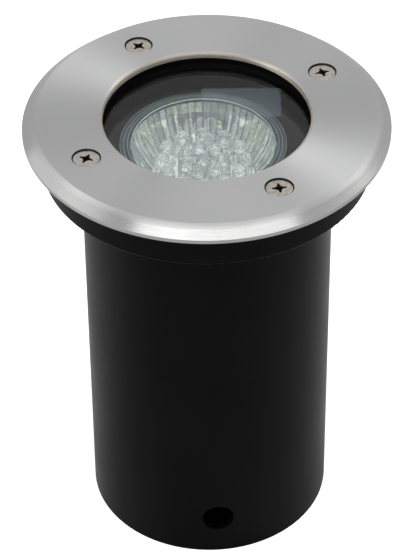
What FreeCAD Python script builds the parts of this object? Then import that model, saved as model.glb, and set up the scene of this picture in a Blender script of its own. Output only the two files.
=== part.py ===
import FreeCAD, Part
import os
import re
import Sketcher

# In-ground well light. The sleeve stays in the ground; the lamp unit under its ring lifts out of it.
# Origin: centre of the sleeve's bottom rim. +Z is up. The cable hole faces -Y, where the light is seen from.

sizes = {
    # whole light and the plain gaps between pieces
    "overall_height": 147,
    "seat_gap": 0.3,
    "fit_gap": 0.1,
    # mounting sleeve
    "tube_radius": 38,
    "tube_wall": 3,
    "collar_radius": 49.6,
    "collar_wall": 3,
    "collar_bottom_depth": 17,
    "step_thickness": 3,
    "collar_round": 0.8,
    "cable_hole_radius": 5,
    "cable_hole_height": 14.5,
    "cable_hole_angle": -86,
    # front ring, pressed from sheet
    "ring_radius": 55,
    "ring_thickness": 2,
    "bevel_width": 3.9,
    "bevel_drop": 3.2,
    "rim_edge": 1.2,
    "rim_land": 0.8,
    "opening_radius": 31,
    "lip_round": 1,
    # four countersunk ring screws
    "screw_circle": 81.5,
    "screw_angle": 30.5,
    "screw_radius": 2,
    "screw_head_radius": 4,
    "screw_length": 12,
    "sink_radius": 4.35,
    "recess_width": 0.9,
    "recess_span": 4.4,
    "recess_depth": 1.5,
    # front glass and its U-section gasket
    "glass_radius": 34,
    "glass_thickness": 6,
    "gasket_lip": 2.5,
    "gasket_sole": 1.5,
    "gasket_wall": 2.3,
    "gasket_bore": 31.6,
    # lamp housing, a cast cup with a flange and four screw bosses
    "flange_gap": 0.6,
    "flange_thickness": 5,
    "neck_wall": 3,
    "housing_gap": 1,
    "housing_wall": 3,
    "wiring_room": 22.2,
    "floor_thickness": 4,
    "floor_round": 4,
    "boss_radius": 4,
    "boss_chamfer": 0.5,
    # cable gland in the housing floor
    "gland_thread_radius": 8,
    "gland_bore": 4.6,
    "gland_hex_radius": 12.7,
    "gland_flange": 5,
    "gland_inside": 8.6,
    "gland_neck": 8,
    "locknut_height": 4.5,
    "cap_grip": 12,
    "cap_dome": 5.5,
    "cap_nose_radius": 7.5,
    "cable_radius": 4,
    "seal_radius": 6.5,
    "seal_reach": 6,
    "seal_height": 7.5,
    # lamp: glass reflector, cover glass, board with its diodes, base and pins
    "lamp_offset": -1.1,
    "lamp_depth": 13,
    "lamp_radius": 25.2,
    "lamp_rim": 3,
    "lamp_wall": 1.4,
    "mouth_radius": 21.9,
    "cup_floor_radius": 15.9,
    "cup_depth": 13,
    "cup_neck_radius": 11.5,
    "cup_height": 27,
    "facet_count": 48,
    "cover_thickness": 1.2,
    "board_radius": 15.7,
    "board_thickness": 1.6,
    "diode_radius": 2.5,
    "diode_height": 8.6,
    "diode_sides": 14,
    "dome_turn": 30,
    "inner_diodes": 7,
    "inner_diode_circle": 11.8,
    "outer_diodes": 12,
    "outer_diode_circle": 25,
    "base_radius": 14.5,
    "base_wall": 2,
    "base_collar_height": 6,
    "base_shoulder_height": 4,
    "base_block_radius": 12.5,
    "base_block_width": 15,
    "base_block_height": 19.5,
    "pin_spacing": 10,
    "pin_radius": 1.5,
    "pin_head_radius": 2.5,
    "pin_length": 7.5,
    "pin_head_height": 3,
    "driver_length": 17,
    "driver_height": 12,
    "driver_thickness": 1.2,
    "driver_back": 1.5,
    "capacitor_radius": 2.9,
    "capacitor_length": 8,
    # lamp socket and its bracket
    "socket_radius": 14.5,
    "socket_height": 15.5,
    "socket_round": 1.2,
    "socket_plate": 2.5,
    "slot_gap": 0.35,
    "floor_hole_gap": 0.1,
    "twist_angle": 25,
    "chamber_depth": 7,
    "contact_thickness": 0.8,
    "contact_width": 3.6,
    "contact_sweep": 50,
    "contact_tail_radius": 0.8,
    "bracket_thickness": 1.5,
    "bracket_width": 16,
    "bracket_end_gap": 0.85,
    "bracket_foot": 8,
    "small_screw_radius": 1.5,
    "small_head_radius": 2.8,
    "small_head_height": 2,
    "small_screw_length": 4,
    "socket_screw_spacing": 20,
    # terminal block, inner leads and earth point
    "lead_radius": 1,
    "lead_bend": 5,
    "lead_height": 7,
    "block_back_gap": 3.072,
    "block_depth": 8.5,
    "block_height": 11,
    "block_end": 5,
    "lead_grip": 4,
    "well_radius": 1.7,
    "well_depth": 4,
    "terminal_screw_length": 2.4,
    "lead_hole_radius": 2.2,
    "earth_end_gap": 2.738,
    "earth_screw_step": 4.5,
    "earth_tag_length": 10,
    "earth_tag_width": 6,
    "earth_tag_thickness": 0.8,
}

doc = FreeCAD.newDocument("WellLight")
sheet = doc.addObject("Spreadsheet::Sheet", "Sizes")
for row, (alias, size) in enumerate(sizes.items(), start=1):
    sheet.set(f"A{row}", alias)
    sheet.set(f"B{row}", str(size))
    sheet.setAlias(f"B{row}", alias)
doc.recompute()


def formula(text):
    """The expression with each size's name pointed at its cell."""
    return re.sub(r"[a-z]\w*", lambda word: f"Sizes.{word[0]}" if word[0] in sizes else word[0], str(text))


def value(text):
    return float(sheet.evalExpression(formula(text)))


def bind(item, **properties):
    for name, text in properties.items():
        item.setExpression(name.replace("__", "."), formula(text))


def place(item, x="0", y="0", z="0", turn="0"):
    bind(item, Placement__Base__x=f"({x}) * 1 mm", Placement__Base__y=f"({y}) * 1 mm")
    bind(item, Placement__Base__z=f"({z}) * 1 mm", Placement__Rotation__Angle=f"({turn}) * 1 deg")
    return item


def cylinder(name, radius, height, **where):
    item = doc.addObject("Part::Cylinder", name)
    bind(item, Radius=radius, Height=height)
    return place(item, **where)


def cone(name, low_radius, high_radius, height, **where):
    item = doc.addObject("Part::Cone", name)
    bind(item, Radius1=low_radius, Radius2=high_radius, Height=height)
    return place(item, **where)


def hexagon(name, radius, height, **where):
    item = doc.addObject("Part::Prism", name)
    item.Polygon = 6
    bind(item, Circumradius=radius, Height=height)
    return place(item, **where)


def block(name, length, width, height, x="0", y="0", z="0"):
    """A box centred on x and y, standing on z."""
    item = doc.addObject("Part::Box", name)
    bind(item, Length=length, Width=width, Height=height)
    return place(item, x=f"{x} - ({length}) / 2", y=f"{y} - ({width}) / 2", z=z)


def along_y(item):
    """Lays a cylinder down so that it runs from its place towards +Y."""
    item.setExpression("Placement.Rotation.Angle", None)
    item.Placement.Rotation = FreeCAD.Rotation(FreeCAD.Vector(1, 0, 0), -90)
    return item


def fuse(name, *items):
    item = doc.addObject("Part::MultiFuse", name)
    item.Shapes = list(items)
    return item


def cut(name, base, *tools):
    item = doc.addObject("Part::Cut", name)
    item.Base = base
    item.Tool = tools[0] if len(tools) == 1 else fuse(f"{name}_tools", *tools)
    return item


def group(name, items):
    item = doc.addObject("Part::Compound", name)
    item.Links = list(items)
    return item


def polar(circle, angle):
    """Place on a circle of this diameter at this angle in degrees."""
    across = f"({circle}) / 2 * cos(({angle}) * 1 deg)"
    back = f"({circle}) / 2 * sin(({angle}) * 1 deg)"
    return {"x": across, "y": back}


def edges_at(shape, radius, height):
    """Names of the round edges of this radius at this height."""
    names = []
    for index, edge in enumerate(shape.Edges, start=1):
        curve = edge.Curve
        if curve.TypeId == "Part::GeomCircle" and abs(curve.Radius - radius) < 0.001:
            if abs(curve.Center.z - height) < 0.001:
                names.append(f"Edge{index}")
    return names


def turned(name, points, rounds=()):
    """A body turned about Z from a closed outline of (radius, height), with some of its corners rounded."""
    body = doc.addObject("PartDesign::Body", name)
    sketch = body.newObject("Sketcher::SketchObject", f"{name}_outline")
    plane = next(item for item in body.Origin.OriginFeatures if item.Role == "XZ_Plane")
    sketch.AttachmentSupport = [(plane, "")]
    sketch.MapMode = "FlatFace"
    corners = [FreeCAD.Vector(value(radius), value(height), 0) for radius, height in points]
    count = len(points)
    for index in range(count):
        sketch.addGeometry(Part.LineSegment(corners[index], corners[(index + 1) % count]), False)
    for index in range(count):
        sketch.addConstraint(Sketcher.Constraint("Coincident", index, 2, (index + 1) % count, 1))
    for index, (radius, height) in enumerate(points):
        for kind, text, axis in (("DistanceX", radius, -2), ("DistanceY", height, -1)):
            if str(text) == "0":
                sketch.addConstraint(Sketcher.Constraint("PointOnObject", index, 1, axis))
                continue
            number = sketch.addConstraint(Sketcher.Constraint(kind, -1, 1, index, 1, value(text)))
            sketch.setExpression(f"Constraints[{number}]", formula(text))
    turn = body.newObject("PartDesign::Revolution", f"{name}_turn")
    turn.Profile = sketch
    turn.ReferenceAxis = (sketch, ["V_Axis"])
    turn.Angle = 360
    doc.recompute()
    for index, (radius, height, size) in enumerate(rounds, start=1):
        carrier = body.Tip
        fillet = body.newObject("PartDesign::Fillet", f"{name}_round_{index}")
        fillet.Base = (carrier, edges_at(carrier.Shape, value(radius), value(height)))
        bind(fillet, Radius=size)
        doc.recompute()
    return body


# Heights and radii that several pieces share, worked out from the sizes above.
ring_under = "(overall_height - ring_thickness)"
collar_bottom = "(overall_height - collar_bottom_depth)"
step_top = f"({collar_bottom} + step_thickness)"
collar_top = f"({ring_under} - seat_gap)"
collar_bore = "(collar_radius - collar_wall)"
tube_bore = "(tube_radius - tube_wall)"
flat_radius = "(ring_radius - bevel_width)"
rim_bottom = "(overall_height - bevel_drop - rim_edge)"
glass_top = f"({ring_under} - gasket_lip)"
glass_bottom = f"({glass_top} - glass_thickness)"
gasket_bottom = f"({glass_bottom} - gasket_sole)"
gasket_radius = "(glass_radius + gasket_wall)"
pocket_radius = f"({gasket_radius} + fit_gap)"
housing_radius = f"({tube_bore} - housing_gap)"
housing_bore = f"({housing_radius} - housing_wall)"
neck_bottom = f"({step_top} + seat_gap)"
lamp_top = "(overall_height - lamp_depth)"
cup_bottom = f"({lamp_top} - cup_height)"
board_bottom = f"({lamp_top} - cup_depth - board_thickness)"
board_top = f"({lamp_top} - cup_depth)"
base_bottom = f"({cup_bottom} - base_block_height)"
socket_top = f"({base_bottom} - seat_gap)"
socket_bottom = f"({socket_top} - socket_height)"
chamber_bottom = f"({socket_top} - socket_plate - chamber_depth)"
pin_bottom = f"({base_bottom} - pin_length)"
plate_bottom = f"({socket_bottom} - bracket_thickness)"
floor_top = f"({plate_bottom} - wiring_room)"
housing_bottom = f"({floor_top} - floor_thickness)"
nodes = {}


def mounting_sleeve():
    outline = [
        (tube_bore, "0"),
        ("tube_radius", "0"),
        ("tube_radius", collar_bottom),
        ("collar_radius", collar_bottom),
        ("collar_radius", collar_top),
        (collar_bore, collar_top),
        (collar_bore, step_top),
        (tube_bore, step_top),
    ]
    rounds = [("collar_radius", collar_bottom, "collar_round")]
    blank = turned("sleeve_blank", outline, rounds)
    drill = along_y(cylinder("cable_hole_drill", "cable_hole_radius", "tube_radius + tube_wall",
                             z="cable_hole_height"))
    hole = group("cable_hole", [drill])
    bind(hole, Placement__Rotation__Angle="(cable_hole_angle - 90) * 1 deg")
    nodes["mounting_sleeve"] = cut("mounting_sleeve", blank, hole)


def ring_screw_places():
    return [polar("screw_circle", f"screw_angle + {90 * index}") for index in range(4)]


def front_ring():
    outline = [
        ("opening_radius", ring_under),
        (f"{flat_radius} - rim_land", ring_under),
        ("ring_radius - rim_land", rim_bottom),
        ("ring_radius", rim_bottom),
        ("ring_radius", "overall_height - bevel_drop"),
        (flat_radius, "overall_height"),
        ("opening_radius", "overall_height"),
    ]
    blank = turned("ring_blank", outline, [("opening_radius", "overall_height", "lip_round")])
    sinks = [
        cone(f"ring_sink_{index}", "sink_radius - ring_thickness", "sink_radius", "ring_thickness",
             z=ring_under, **spot)
        for index, spot in enumerate(ring_screw_places(), start=1)
    ]
    nodes["front_ring"] = cut("front_ring", blank, *sinks)


def ring_screws():
    """Countersunk screws with a cross recess; the head sits just under the ring's face, in its sink."""
    screws = []
    head_height = "(screw_head_radius - screw_radius)"
    head_top = "(overall_height - sink_radius + screw_head_radius + fit_gap)"
    for index, spot in enumerate(ring_screw_places(), start=1):
        head = cone(f"screw_head_{index}", "screw_radius", "screw_head_radius", head_height,
                    z=f"{head_top} - {head_height}", **spot)
        shank = cylinder(f"screw_shank_{index}", "screw_radius", f"screw_length - {head_height}",
                         z=f"{head_top} - screw_length", **spot)
        low = f"{head_top} - recess_depth"
        slots = [
            block(f"screw_slot_{index}_{number}", long, wide, "recess_depth", z=low, **spot)
            for number, (long, wide) in enumerate([("recess_span", "recess_width"),
                                                   ("recess_width", "recess_span")])
        ]
        centre = cone(f"screw_centre_{index}", "recess_width / 2", "recess_width", "recess_depth", z=low, **spot)
        whole = fuse(f"screw_whole_{index}", head, shank)
        screws.append(cut(f"ring_screw_{index}", whole, centre, *slots))
    nodes["ring_screws"] = group("ring_screws", screws)


def front_glass():
    nodes["front_glass"] = cylinder("front_glass", "glass_radius", "glass_thickness", z=glass_bottom)


def glass_gasket():
    outline = [
        ("gasket_bore", gasket_bottom),
        (gasket_radius, gasket_bottom),
        (gasket_radius, ring_under),
        ("gasket_bore", ring_under),
        ("gasket_bore", glass_top),
        ("glass_radius + fit_gap", glass_top),
        ("glass_radius + fit_gap", glass_bottom),
        ("gasket_bore", glass_bottom),
    ]
    nodes["glass_gasket"] = turned("glass_gasket", outline)


def lamp_housing():
    neck_radius = f"({pocket_radius} + neck_wall)"
    flange_radius = f"({collar_bore} - flange_gap)"
    flange_bottom = f"({ring_under} - flange_thickness)"
    outline = [
        ("gland_thread_radius + fit_gap", housing_bottom),
        (housing_radius, housing_bottom),
        (housing_radius, neck_bottom),
        (neck_radius, neck_bottom),
        (neck_radius, flange_bottom),
        (flange_radius, flange_bottom),
        (flange_radius, ring_under),
        (pocket_radius, ring_under),
        (pocket_radius, gasket_bottom),
        (housing_bore, gasket_bottom),
        (housing_bore, floor_top),
        ("gland_thread_radius + fit_gap", floor_top),
    ]
    rounds = [(housing_radius, housing_bottom, "floor_round")]
    cup = turned("housing_cup", outline, rounds)
    spots = ring_screw_places()
    bosses = [
        cylinder(f"housing_boss_{index}", "boss_radius", f"{flange_bottom} - {neck_bottom}", z=neck_bottom, **spot)
        for index, spot in enumerate(spots, start=1)
    ]
    holes = [
        cylinder(f"housing_hole_{index}", "screw_radius + fit_gap", f"{ring_under} - {neck_bottom}",
                 z=neck_bottom, **spot)
        for index, spot in enumerate(spots, start=1)
    ]
    holes += [
        cone(f"housing_lead_in_{index}", "screw_radius + fit_gap", "screw_radius + fit_gap + boss_chamfer",
             "boss_chamfer", z=f"{ring_under} - boss_chamfer", **spot)
        for index, spot in enumerate(spots, start=1)
    ]
    holes += [
        cylinder(f"housing_foot_hole_{index}", "small_screw_radius + fit_gap", "small_screw_length",
                 z=f"{floor_top} + bracket_thickness - small_screw_length", **spot)
        for index, spot in enumerate(foot_screw_places(), start=1)
    ]
    holes.append(cylinder("housing_earth_hole", "small_screw_radius + fit_gap", "small_screw_length",
                          z=f"{floor_top} + earth_tag_thickness - small_screw_length", **earth_place()))
    cast = fuse("housing_cast", cup, *bosses)
    nodes["lamp_housing"] = cut("lamp_housing", cast, *holes)


def gland():
    """Gland through the housing floor: body, locknut inside, cap and rubber seal outside."""
    flange_bottom = f"({housing_bottom} - gland_flange)"
    neck_end = f"({flange_bottom} - gland_neck)"
    seal_top = f"({neck_end} + seal_reach)"
    seal_bottom = f"({seal_top} - seal_height)"
    hexes = hexagon("gland_hex", "gland_hex_radius", "gland_flange", z=flange_bottom)
    stem = cylinder("gland_stem", "gland_thread_radius", "gland_neck + gland_flange + gland_inside", z=neck_end)
    bore = cylinder("gland_body_bore", "gland_bore", "gland_neck + gland_flange + gland_inside", z=neck_end)
    seat = cylinder("gland_seal_seat", "seal_radius + fit_gap", "seal_reach", z=neck_end)
    nodes["gland_body"] = cut("gland_body", fuse("gland_whole", hexes, stem), bore, seat)

    nut = hexagon("locknut_hex", "gland_hex_radius", "locknut_height", z=floor_top)
    nut_bore = cylinder("locknut_bore", "gland_thread_radius + fit_gap", "locknut_height", z=floor_top)
    nodes["gland_locknut"] = cut("gland_locknut", nut, nut_bore)

    rubber = cylinder("seal_blank", "seal_radius", "seal_height", z=seal_bottom)
    rubber_bore = cylinder("seal_bore", "cable_radius", "seal_height", z=seal_bottom)
    nodes["gland_seal"] = cut("gland_seal", rubber, rubber_bore)

    cap_top = f"({flange_bottom} - seat_gap)"
    grip_bottom = f"({cap_top} - cap_grip)"
    cap_bottom = f"({grip_bottom} - cap_dome)"
    grip = hexagon("cap_hex", "gland_hex_radius", "cap_grip", z=grip_bottom)
    dome = cone("cap_dome_form", "cap_nose_radius", "gland_hex_radius * cos(30 deg)", "cap_dome", z=cap_bottom)
    thread = cylinder("cap_thread", "gland_thread_radius + fit_gap", f"{cap_top} - {neck_end} + fit_gap",
                      z=f"{neck_end} - fit_gap")
    pocket = cylinder("cap_seal_pocket", "seal_radius + fit_gap", f"{neck_end} - {seal_bottom}", z=seal_bottom)
    exit_bore = cylinder("cap_exit", "cable_radius + seat_gap", "cap_grip + cap_dome", z=cap_bottom)
    nodes["gland_cap"] = cut("gland_cap", fuse("cap_whole", grip, dome), thread, pocket, exit_bore)


def ruled_loft(name, sections, **where):
    """Straight-sided solid between level polygons, each (sides, radius, height)."""
    rings = []
    for number, (sides, radius, height) in enumerate(sections, start=1):
        ring = doc.addObject("Part::RegularPolygon", f"{name}_ring_{number}")
        bind(ring, Polygon=sides, Circumradius=radius)
        rings.append(place(ring, z=height, **where))
    loft = doc.addObject("Part::Loft", name)
    loft.Sections = rings
    loft.Solid = True
    loft.Ruled = True
    return loft


def lamp_reflector():
    """Pressed glass cup: a plain rim outside, a ring of narrow facets inside, and a neck into the base."""
    outline = [
        ("0", cup_bottom),
        ("cup_neck_radius", cup_bottom),
        ("cup_neck_radius", f"{cup_bottom} + lamp_rim"),
        ("cup_floor_radius + 2 * lamp_wall", board_bottom),
        ("lamp_radius", f"{lamp_top} - lamp_rim"),
        ("lamp_radius", lamp_top),
        ("0", lamp_top),
    ]
    solid = turned("cup_blank", outline)
    place(solid, x="lamp_offset")
    facets = ruled_loft("facet_hollow", [
        ("facet_count", "cup_floor_radius", board_top),
        ("facet_count", "mouth_radius", f"{lamp_top} - cover_thickness"),
    ], x="lamp_offset")
    mouth = cylinder("cup_mouth", "mouth_radius + fit_gap", "cover_thickness",
                     x="lamp_offset", z=f"{lamp_top} - cover_thickness")
    board_seat = cylinder("cup_board_seat", "board_radius + fit_gap", "board_thickness",
                          x="lamp_offset", z=board_bottom)
    neck = cone("cup_neck_hollow", "cup_neck_radius - lamp_wall", "board_radius - lamp_wall",
                f"{board_bottom} - {cup_bottom}", x="lamp_offset", z=cup_bottom)
    nodes["lamp_reflector"] = cut("lamp_reflector", solid, facets, mouth, board_seat, neck)


def lamp_inside():
    """Cover glass, the diode board and its diodes: one in the middle and two rings round it."""
    nodes["lamp_cover_glass"] = cylinder("lamp_cover_glass", "mouth_radius", "cover_thickness",
                                         x="lamp_offset", z=f"{lamp_top} - cover_thickness")
    nodes["led_board"] = cylinder("led_board", "board_radius", "board_thickness",
                                  x="lamp_offset", z=board_bottom)
    spots = [{"x": "0", "y": "0"}]
    for count, circle in (("inner_diodes", "inner_diode_circle"), ("outer_diodes", "outer_diode_circle")):
        spots += [polar(circle, f"360 * {index} / {count}") for index in range(int(value(count)))]
    dome_foot = f"({board_top} + diode_height - diode_radius)"
    outline = [("diode_sides", "diode_radius", board_top)]
    for turn in range(3):
        angle = f"{turn} * dome_turn * 1 deg"
        outline.append(("diode_sides", f"diode_radius * cos({angle})", f"{dome_foot} + diode_radius * sin({angle})"))
    tip = "diode_radius * cos(2.7 * dome_turn * 1 deg)"
    outline.append(("diode_sides", tip, f"{board_top} + diode_height"))
    nodes["leds"] = group("leds", [
        ruled_loft(f"diode_{index}", outline, x=f"lamp_offset + {spot['x']}", y=spot["y"])
        for index, spot in enumerate(spots, start=1)
    ])


def on_lamp_axis(across="0", back="0"):
    return {"x": f"(lamp_offset + {across})", "y": back}


def lamp_base():
    """Moulded base: a collar that holds the glass neck, a shoulder, and the block with rounded ends below."""
    collar_low = f"({neck_seat} - base_collar_height + lamp_rim)"
    shoulder_low = f"({collar_low} - base_shoulder_height)"
    axis = on_lamp_axis()
    collar = cylinder("base_collar", "base_radius", "base_collar_height", z=collar_low, **axis)
    shoulder = cone("base_shoulder", "base_block_radius", "base_radius", "base_shoulder_height",
                    z=shoulder_low, **axis)
    ends = cylinder("base_ends", "base_block_radius", f"{collar_low} - {base_bottom}", z=base_bottom, **axis)
    sides = block("base_sides", "3 * base_block_radius", "base_block_width", f"{collar_low} - {base_bottom}",
                  z=base_bottom, **axis)
    stem = doc.addObject("Part::Common", "base_stem")
    stem.Base = ends
    stem.Tool = sides
    inside_round = cylinder("base_room_ends", "base_block_radius - base_wall",
                            f"{neck_seat} - {base_floor}", z=base_floor, **axis)
    inside_flat = block("base_room_sides", "3 * base_block_radius", "base_block_width - 2 * base_wall",
                        f"{neck_seat} - {base_floor}", z=base_floor, **axis)
    room = doc.addObject("Part::Common", "base_room")
    room.Base = inside_round
    room.Tool = inside_flat
    neck = cylinder("base_neck_seat", "cup_neck_radius + fit_gap", "lamp_rim", z=neck_seat, **axis)
    holes = [
        cylinder(f"base_pin_hole_{side}", "pin_radius + fit_gap", "base_wall", z=base_bottom,
                 **on_lamp_axis(across))
        for side, across in pin_sides
    ]
    nodes["lamp_base"] = cut("lamp_base", fuse("base_whole", collar, shoulder, stem), room, neck, *holes)


def lamp_pins():
    """Two bayonet pins with wide feet, riveted through the base's floor."""
    pins = []
    for side, across in pin_sides:
        shank = cylinder(f"pin_shank_{side}", "pin_radius", "pin_length + base_wall", z=pin_bottom,
                         **on_lamp_axis(across))
        foot = cylinder(f"pin_foot_{side}", "pin_head_radius", "pin_head_height", z=pin_bottom,
                        **on_lamp_axis(across))
        pins.append(fuse(f"pin_{side}", shank, foot))
    nodes["lamp_pins"] = group("lamp_pins", pins)


def lamp_driver():
    """Driver board upright inside the base, with its capacitor against it."""
    low = f"({base_floor} + seat_gap + base_wall / 2)"
    front = "(driver_thickness / 2 - driver_back)"
    nodes["driver_board"] = block("driver_board", "driver_length", "driver_thickness", "driver_height",
                                  x="lamp_offset", y="-driver_back", z=low)
    nodes["driver_capacitor"] = cylinder("driver_capacitor", "capacitor_radius", "capacitor_length",
                                         z=f"{low} + (driver_height - capacitor_length) / 2",
                                         **on_lamp_axis(back=f"({front} + fit_gap + capacitor_radius)"))


def arc_plate(name, inner, outer, height, sweep, start, z):
    """A flat sector of a ring on the lamp's axis, from the start angle through the sweep."""
    outside = cylinder(f"{name}_outside", outer, height, z=z, turn=start, x="lamp_offset")
    bind(outside, Angle=f"({sweep}) * 1 deg")
    inside = cylinder(f"{name}_inside", inner, height, z=z, x="lamp_offset")
    return cut(name, outside, inside)


def bayonet_slot(side, facing):
    """Keyhole through the socket's plate: a wide entry, and a narrow arc that the pin turns along to lock."""
    half = "(pin_radius + slot_gap)"
    plate_low = f"({socket_top} - socket_plate)"
    stop_angle = f"asin(2 * {half} / pin_spacing) / 1 deg"
    arc = arc_plate(f"slot_arc_{side}", f"pin_spacing / 2 - {half}", f"pin_spacing / 2 + {half}",
                    "socket_plate", f"twist_angle + {stop_angle}", f"{facing} - {stop_angle}", plate_low)
    spot = polar("pin_spacing", f"{facing} + twist_angle")
    entry = cylinder(f"slot_entry_{side}", "(pin_head_radius + slot_gap)", "socket_plate",
                     x=f"lamp_offset + {spot['x']}", y=spot["y"], z=plate_low)
    return [arc, entry]


def lamp_socket():
    """Ceramic holder: two keyhole slots in its plate and a ring-shaped chamber where the pins' feet turn."""
    outline = [
        ("0", socket_bottom),
        ("socket_radius", socket_bottom),
        ("socket_radius", socket_top),
        ("0", socket_top),
    ]
    puck = turned("socket_puck", outline, [("socket_radius", socket_top, "socket_round")])
    place(puck, x="lamp_offset")
    reach = "(pin_head_radius + 2 * slot_gap)"
    chamber = arc_plate("socket_chamber", f"pin_spacing / 2 - {reach}", f"pin_spacing / 2 + {reach}",
                        "chamber_depth", "360", "0", chamber_bottom)
    tools = [chamber]
    for side, facing in (("right", "0"), ("left", "180")):
        tools += bayonet_slot(side, facing)
    for side, across in pin_sides:
        tools.append(cylinder(f"socket_tail_hole_{side}", "contact_tail_radius + floor_hole_gap",
                              f"{chamber_bottom} - {socket_bottom}", z=socket_bottom, **on_lamp_axis(across)))
    for side, across in socket_screw_sides:
        tools.append(cylinder(f"socket_screw_hole_{side}", "small_screw_radius + fit_gap",
                              "small_screw_length - bracket_thickness", z=socket_bottom,
                              **on_lamp_axis(across)))
    nodes["lamp_socket"] = cut("lamp_socket", puck, *tools)


def socket_contacts():
    """Brass contacts under the pins' feet, each with a tail down through the socket's floor."""
    contacts = []
    top = f"({pin_bottom} - seat_gap)"
    low = f"({top} - contact_thickness)"
    for (side, across), facing in zip(pin_sides, ("180", "0")):
        face = arc_plate(f"contact_face_{side}", "(pin_spacing - contact_width) / 2",
                         "(pin_spacing + contact_width) / 2", "contact_thickness", "contact_sweep",
                         f"{facing} - contact_sweep / 2", low)
        tail = cylinder(f"contact_tail_{side}", "contact_tail_radius", f"{low} - {socket_bottom}",
                        z=socket_bottom, **on_lamp_axis(across))
        contacts.append(fuse(f"contact_{side}", face, tail))
    nodes["socket_contacts"] = group("socket_contacts", contacts)


def socket_bracket():
    """Strip folded to a bridge: the socket stands on its top, and its feet are screwed to the housing floor."""
    plate = block("bracket_plate", bracket_span, "bracket_width", "bracket_thickness",
                  x="lamp_offset", z=plate_bottom)
    parts = [plate]
    for side, sign in (("left", "-"), ("right", "+")):
        leg_x = f"(lamp_offset {sign} ({bracket_span} - bracket_thickness) / 2)"
        foot_x = f"(lamp_offset {sign} ({bracket_span} + bracket_foot) / 2)"
        parts.append(block(f"bracket_leg_{side}", "bracket_thickness", "bracket_width",
                           f"{plate_bottom} - {floor_top}", x=leg_x, z=floor_top))
        parts.append(block(f"bracket_foot_{side}", "bracket_foot + 2 * fit_gap", "bracket_width",
                           "bracket_thickness", x=foot_x, z=floor_top))
    holes = []
    for index, spot in enumerate(foot_screw_places(), start=1):
        holes.append(cylinder(f"bracket_foot_hole_{index}", "small_screw_radius + fit_gap", "bracket_thickness",
                              z=floor_top, **spot))
    for side, across in socket_screw_sides:
        holes.append(cylinder(f"bracket_socket_hole_{side}", "small_screw_radius + fit_gap",
                              "bracket_thickness", z=plate_bottom, **on_lamp_axis(across)))
    for side, across in pin_sides:
        holes.append(cylinder(f"bracket_lead_hole_{side}", "lead_hole_radius", "bracket_thickness",
                              z=plate_bottom, **on_lamp_axis(across)))
    nodes["socket_bracket"] = cut("socket_bracket", fuse("bracket_strip", *parts), *holes)


def small_screw(name, face, upward, **spot):
    """Pan-head screw whose head bears on this face; its shank points up or down."""
    if upward:
        head = cylinder(f"{name}_head", "small_head_radius", "small_head_height",
                        z=f"{face} - small_head_height", **spot)
        shank = cylinder(f"{name}_shank", "small_screw_radius", "small_screw_length", z=face, **spot)
    else:
        head = cylinder(f"{name}_head", "small_head_radius", "small_head_height", z=face, **spot)
        shank = cylinder(f"{name}_shank", "small_screw_radius", "small_screw_length",
                         z=f"{face} - small_screw_length", **spot)
    return fuse(name, head, shank)


def small_screws():
    foot_face = f"({floor_top} + bracket_thickness)"
    nodes["bracket_screws"] = group("bracket_screws", [
        small_screw(f"bracket_screw_{index}", foot_face, False, **spot)
        for index, spot in enumerate(foot_screw_places(), start=1)
    ])
    nodes["socket_screws"] = group("socket_screws", [
        small_screw(f"socket_screw_{side}", plate_bottom, True, **on_lamp_axis(across))
        for side, across in socket_screw_sides
    ])
    nodes["earth_screw"] = small_screw("earth_screw", f"({floor_top} + earth_tag_thickness)", False,
                                       **earth_place())


def foot_screw_places():
    reach = f"(({bracket_span} + bracket_foot) / 2)"
    return [{"x": f"(lamp_offset {sign} {reach})", "y": "0"} for sign in "-+"]


def earth_place():
    return {"x": f"(lamp_offset + {earth_pole})", "y": f"(-{earth_back} - earth_screw_step)"}


def terminal_block():
    """Three-pole block on the housing floor, with a lead hole in front and a screw well on top of each pole."""
    length = "(2 * pin_spacing + 2 * block_end)"
    middle = f"(lamp_offset + ({earth_pole} - pin_spacing / 2) / 2)"
    body = block("terminal_body", length, "block_depth", "block_height", x=middle,
                 y=f"({block_front} + block_depth / 2)", z=floor_top)
    tools = []
    screws = []
    block_top = f"({floor_top} + block_height)"
    for number, pole in enumerate(poles, start=1):
        tools.append(along_y(cylinder(f"terminal_lead_hole_{number}", "lead_radius + fit_gap",
                                      "lead_grip + well_radius / 2", x=f"lamp_offset + {pole}",
                                      y=block_front, z=lead_line)))
        spot = {"x": f"(lamp_offset + {pole})", "y": f"({block_front} + lead_grip)"}
        tools.append(cylinder(f"terminal_well_{number}", "well_radius", "well_depth",
                              z=f"{block_top} - well_depth", **spot))
        bottom = f"({lead_line} + lead_radius + fit_gap)"
        shank = cylinder(f"terminal_screw_shank_{number}", "well_radius - fit_gap", "terminal_screw_length",
                         z=bottom, **spot)
        slot = block(f"terminal_screw_slot_{number}", "3 * well_radius", "recess_width / 2",
                     "terminal_screw_length / 3", z=f"{bottom} + 2 * terminal_screw_length / 3", **spot)
        screws.append(cut(f"terminal_screw_{number}", shank, slot))
    nodes["terminal_block"] = cut("terminal_block", body, *tools)
    nodes["terminal_screws"] = group("terminal_screws", screws)


def quarter_bend(name, x, y, z, first, second):
    """A quarter of a round bend, from the first direction seen from its centre to the second."""
    bend = doc.addObject("Part::Torus", name)
    bind(bend, Radius1="lead_bend", Radius2="lead_radius", Placement__Base__x=f"({x}) * 1 mm")
    bind(bend, Placement__Base__y=f"({y}) * 1 mm", Placement__Base__z=f"({z}) * 1 mm")
    bend.Angle3 = 90
    bend.Placement.Rotation = FreeCAD.Rotation(first, second, first.cross(second))
    return bend


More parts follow.
